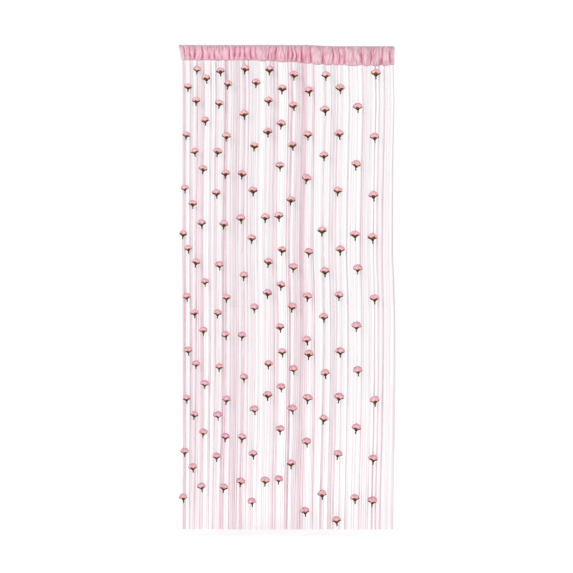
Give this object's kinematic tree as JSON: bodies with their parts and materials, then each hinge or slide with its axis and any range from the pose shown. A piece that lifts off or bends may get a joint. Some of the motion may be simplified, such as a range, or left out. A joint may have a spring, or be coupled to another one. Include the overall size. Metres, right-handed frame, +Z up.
{
  "type": "rosebud string curtain",
  "caption": "Door curtain of thin hanging strings, some threaded with small cloth rosebuds, under a gathered heading that takes a rod.",
  "frame": {"origin": "middle of the heading's top edge, where the curtain hangs", "axes": "+Z up, +X to the viewer's right as the front is faced, and the front faces -Y"},
  "size_m": [0.887, 0.0455, 2],
  "materials": {
    "heading_cloth": "light pink woven polyester cloth, gathered",
    "string_yarn": "pale pink twisted polyester string with a slight sheen",
    "rosebud": "pink and peach cloth petals over brown-green sepals"
  },
  "bodies": {
    "root": {"heading": "heading_cloth", "plain_strings": "string_yarn", "bud_string_01": "rosebud", "bud_string_02": "rosebud", "bud_string_03": "rosebud", "bud_string_04": "rosebud", "bud_string_05": "rosebud", "bud_string_06": "rosebud", "bud_string_07": "rosebud", "bud_string_08": "rosebud", "bud_string_09": "rosebud", "bud_string_10": "rosebud", "bud_string_11": "rosebud", "bud_string_12": "rosebud", "bud_string_13": "rosebud", "bud_string_14": "rosebud", "bud_string_15": "rosebud"}
  },
  "joints": []
}
